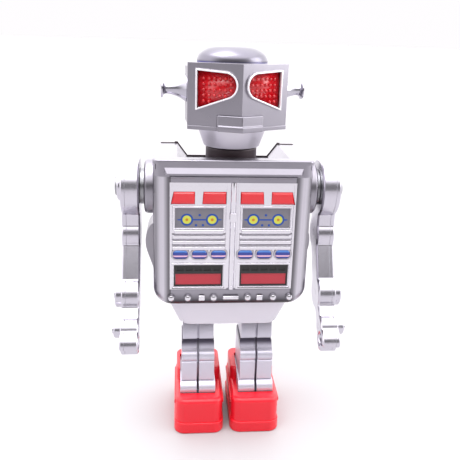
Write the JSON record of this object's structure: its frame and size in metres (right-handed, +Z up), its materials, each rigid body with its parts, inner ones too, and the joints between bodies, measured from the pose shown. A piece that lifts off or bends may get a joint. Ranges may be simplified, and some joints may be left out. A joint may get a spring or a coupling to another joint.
{
  "type": "wind up tin toy robot",
  "caption": "Clockwork walking toy robot: silver tin body with a chest panel, V-shaped visor with red eyes, swinging clawed arms, red boots and a winding key at the back.",
  "frame": {"origin": "on the floor, at the middle of the box that encloses the toy", "axes": "+Z up, the robot looks along -Y, its own left hand is on +X"},
  "size_m": [0.0678, 0.0416, 0.1151],
  "materials": {
    "silver_tin": "bright glossy silver lacquer on pressed tin",
    "silver_plastic": "silver-painted moulded plastic, glossy",
    "bezel_chrome": "bright plated rim",
    "dial_print": "grey printed plate with round blue and yellow dials",
    "red_lens": "glossy red plastic, faceted or dotted",
    "blue_lens": "glossy deep blue plastic",
    "black_plastic": "glossy black plastic",
    "dark_plastic": "dark moulded plastic",
    "red_plastic": "glossy bright red moulded plastic",
    "ear_metal": "turned bright metal",
    "steel": "plain steel",
    "brass": "plain brass wheels"
  },
  "bodies": {
    "body": {"button_bezels": "bezel_chrome", "casing_screws": "steel", "chest_lights": "red_lens", "chest_panel": "silver_tin", "dial_plates": "dial_print", "door_latch": "silver_tin", "hip_axle": "steel", "mainspring": "steel", "motor_pillars": "steel", "motor_plate_back": "steel", "motor_plate_front": "steel", "motor_posts": "steel", "neck_bush": "dark_plastic", "oval_buttons": "blue_lens", "pelvis_shell": "silver_tin", "red_windows": "red_lens", "shoulder_bosses": "silver_tin", "shoulder_pins": "steel", "shoulder_washers": "steel", "torso_back_shell": "silver_tin", "torso_deck": "silver_tin", "torso_front_shell": "silver_tin", "window_grilles": "black_plastic"},
    "head": {"head_visor": "silver_tin", "mouth_grille": "silver_tin", "head_back_shell": "silver_tin", "head_dome": "silver_tin", "neck_bowl": "silver_tin", "neck_pin": "steel", "eye_lens_left": "red_lens", "eye_lens_right": "red_lens", "ear_left": "ear_metal", "ear_right": "ear_metal"},
    "arm_left": {"arm_left_inner": "silver_plastic", "arm_left_outer": "silver_plastic", "arm_left_rivets": "silver_plastic"},
    "leg_left": {"leg_left": "silver_plastic", "leg_lever_left": "steel", "boot_left": "red_plastic", "boot_sole_left": "red_plastic", "boot_screw_left": "steel"},
    "arm_right": {"arm_right_inner": "silver_plastic", "arm_right_outer": "silver_plastic", "arm_right_rivets": "silver_plastic"},
    "leg_right": {"leg_right": "silver_plastic", "leg_lever_right": "steel", "boot_right": "red_plastic", "boot_sole_right": "red_plastic", "boot_screw_right": "steel"},
    "key_train": {"winding_key": "steel", "winding_arbor": "steel", "great_wheel": "brass"},
    "second_train": {"second_arbor": "steel", "second_pinion": "brass", "second_wheel": "brass", "crown_wheel": "brass"},
    "crank": {"crankshaft": "steel", "crank_pinion": "brass"},
    "governor_wheel": {"governor": "brass"}
  },
  "joints": [
    {"name": "head_turn", "type": "hinge", "parent": "body", "child": "head", "pos_m": [0, 0, 0.0876], "axis": [0, 0, 1], "continuous": true},
    {"name": "arm_left_swing", "type": "hinge", "parent": "body", "child": "arm_left", "pos_m": [0.0263, 0, 0.0749], "axis": [1, 0, 0], "continuous": true},
    {"name": "arm_right_swing", "type": "hinge", "parent": "body", "child": "arm_right", "pos_m": [-0.0263, 0, 0.0749], "axis": [1, 0, 0], "continuous": true},
    {"name": "leg_left_swing", "type": "hinge", "parent": "body", "child": "leg_left", "pos_m": [0.009, 0, 0.0382], "axis": [1, 0, 0], "range_deg": [-8, 8]},
    {"name": "leg_right_swing", "type": "hinge", "parent": "body", "child": "leg_right", "pos_m": [-0.009, 0, 0.0382], "axis": [1, 0, 0], "range_deg": [-8, 8]},
    {"name": "key_turn", "type": "hinge", "parent": "body", "child": "key_train", "pos_m": [0, 0.01, 0.068], "axis": [0, 1, 0], "continuous": true},
    {"name": "second_turn", "type": "hinge", "parent": "body", "child": "second_train", "pos_m": [0, 0.004, 0.05675], "axis": [0, 1, 0], "continuous": true},
    {"name": "crank_turn", "type": "hinge", "parent": "body", "child": "crank", "pos_m": [0, -0.0049, 0.05675], "axis": [1, 0, 0], "continuous": true},
    {"name": "governor_turn", "type": "hinge", "parent": "body", "child": "governor_wheel", "pos_m": [0.0094, 0.004, 0.05333], "axis": [0, 1, 0], "continuous": true}
  ],
  "couplings": [
    {"joint": "leg_right_swing", "follows": "leg_left_swing", "ratio": -1},
    {"joint": "second_turn", "follows": "key_turn", "ratio": -4},
    {"joint": "crank_turn", "follows": "key_turn", "ratio": 8},
    {"joint": "governor_turn", "follows": "key_turn", "ratio": 16}
  ]
}
